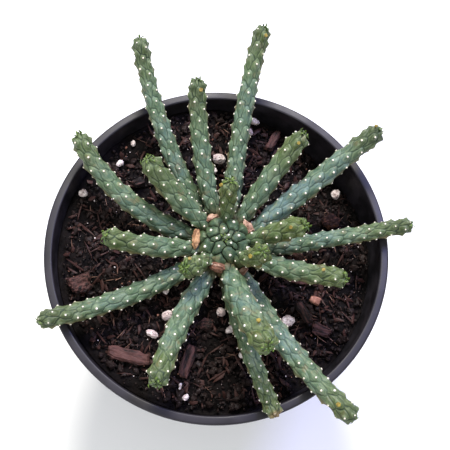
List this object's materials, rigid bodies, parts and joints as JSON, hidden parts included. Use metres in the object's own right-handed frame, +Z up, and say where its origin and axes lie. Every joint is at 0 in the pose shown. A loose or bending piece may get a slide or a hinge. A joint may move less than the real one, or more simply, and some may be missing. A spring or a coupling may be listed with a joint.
{
  "type": "potted medusa-head euphorbia",
  "caption": "Low succulent whose knobbly arms radiate from a squat tubercled head, growing in gritty bark and perlite mix in a round black plastic nursery pot.",
  "frame": {"origin": "middle of the pot's underside, on the surface it stands on", "axes": "+Z up out of the pot along its axis; +X to the right and +Y away, as seen from above with the longest arm pointing away"},
  "size_m": [0.1611, 0.1719, 0.1457],
  "materials": {
    "pot_plastic": "black injection-moulded polypropylene, fine matt texture with a soft sheen",
    "potting_mix": "damp dark peat and fine bark, crumbly",
    "head_skin": "dark green waxy succulent skin, satin",
    "arm_skin": "blue-green to olive waxy succulent skin with pale leaf scars, satin",
    "dry_stalk": "papery tan, matt",
    "perlite": "porous off-white expanded grain, matt",
    "bark": "dark red-brown composted bark, matt and fibrous"
  },
  "bodies": {
    "root": {"pot": "pot_plastic", "soil": "potting_mix", "caudex": "head_skin", "dry_stub_01": "dry_stalk", "dry_stub_02": "dry_stalk", "dry_stub_03": "dry_stalk", "dry_stub_04": "dry_stalk", "dry_stub_05": "dry_stalk", "arm_01": "arm_skin", "arm_02": "arm_skin", "arm_03": "arm_skin", "arm_04": "arm_skin", "arm_05": "arm_skin", "arm_06": "arm_skin", "arm_07": "arm_skin", "arm_08": "arm_skin", "arm_09": "arm_skin", "arm_10": "arm_skin", "arm_11": "arm_skin", "arm_12": "arm_skin", "arm_13": "arm_skin", "arm_14": "arm_skin", "arm_15": "arm_skin", "arm_16": "arm_skin", "arm_17": "arm_skin", "arm_18": "arm_skin", "arm_19": "arm_skin", "perlite_01": "perlite", "perlite_02": "perlite", "perlite_03": "perlite", "perlite_04": "perlite", "perlite_05": "perlite", "perlite_06": "perlite", "perlite_07": "perlite", "perlite_08": "perlite", "perlite_09": "perlite", "perlite_10": "perlite", "perlite_11": "perlite", "perlite_12": "perlite", "perlite_13": "perlite", "perlite_14": "perlite", "perlite_15": "perlite", "perlite_16": "perlite", "perlite_17": "perlite", "bark_chip_01": "bark", "bark_chip_02": "bark", "bark_chip_03": "bark", "bark_chip_04": "bark", "bark_chip_05": "bark", "bark_chip_06": "bark", "bark_chip_07": "bark", "bark_chip_08": "bark", "bark_chip_09": "bark", "bark_chip_10": "bark", "bark_chip_11": "bark", "bark_chip_12": "bark", "bark_chip_13": "bark", "bark_chip_14": "bark"}
  },
  "joints": []
}
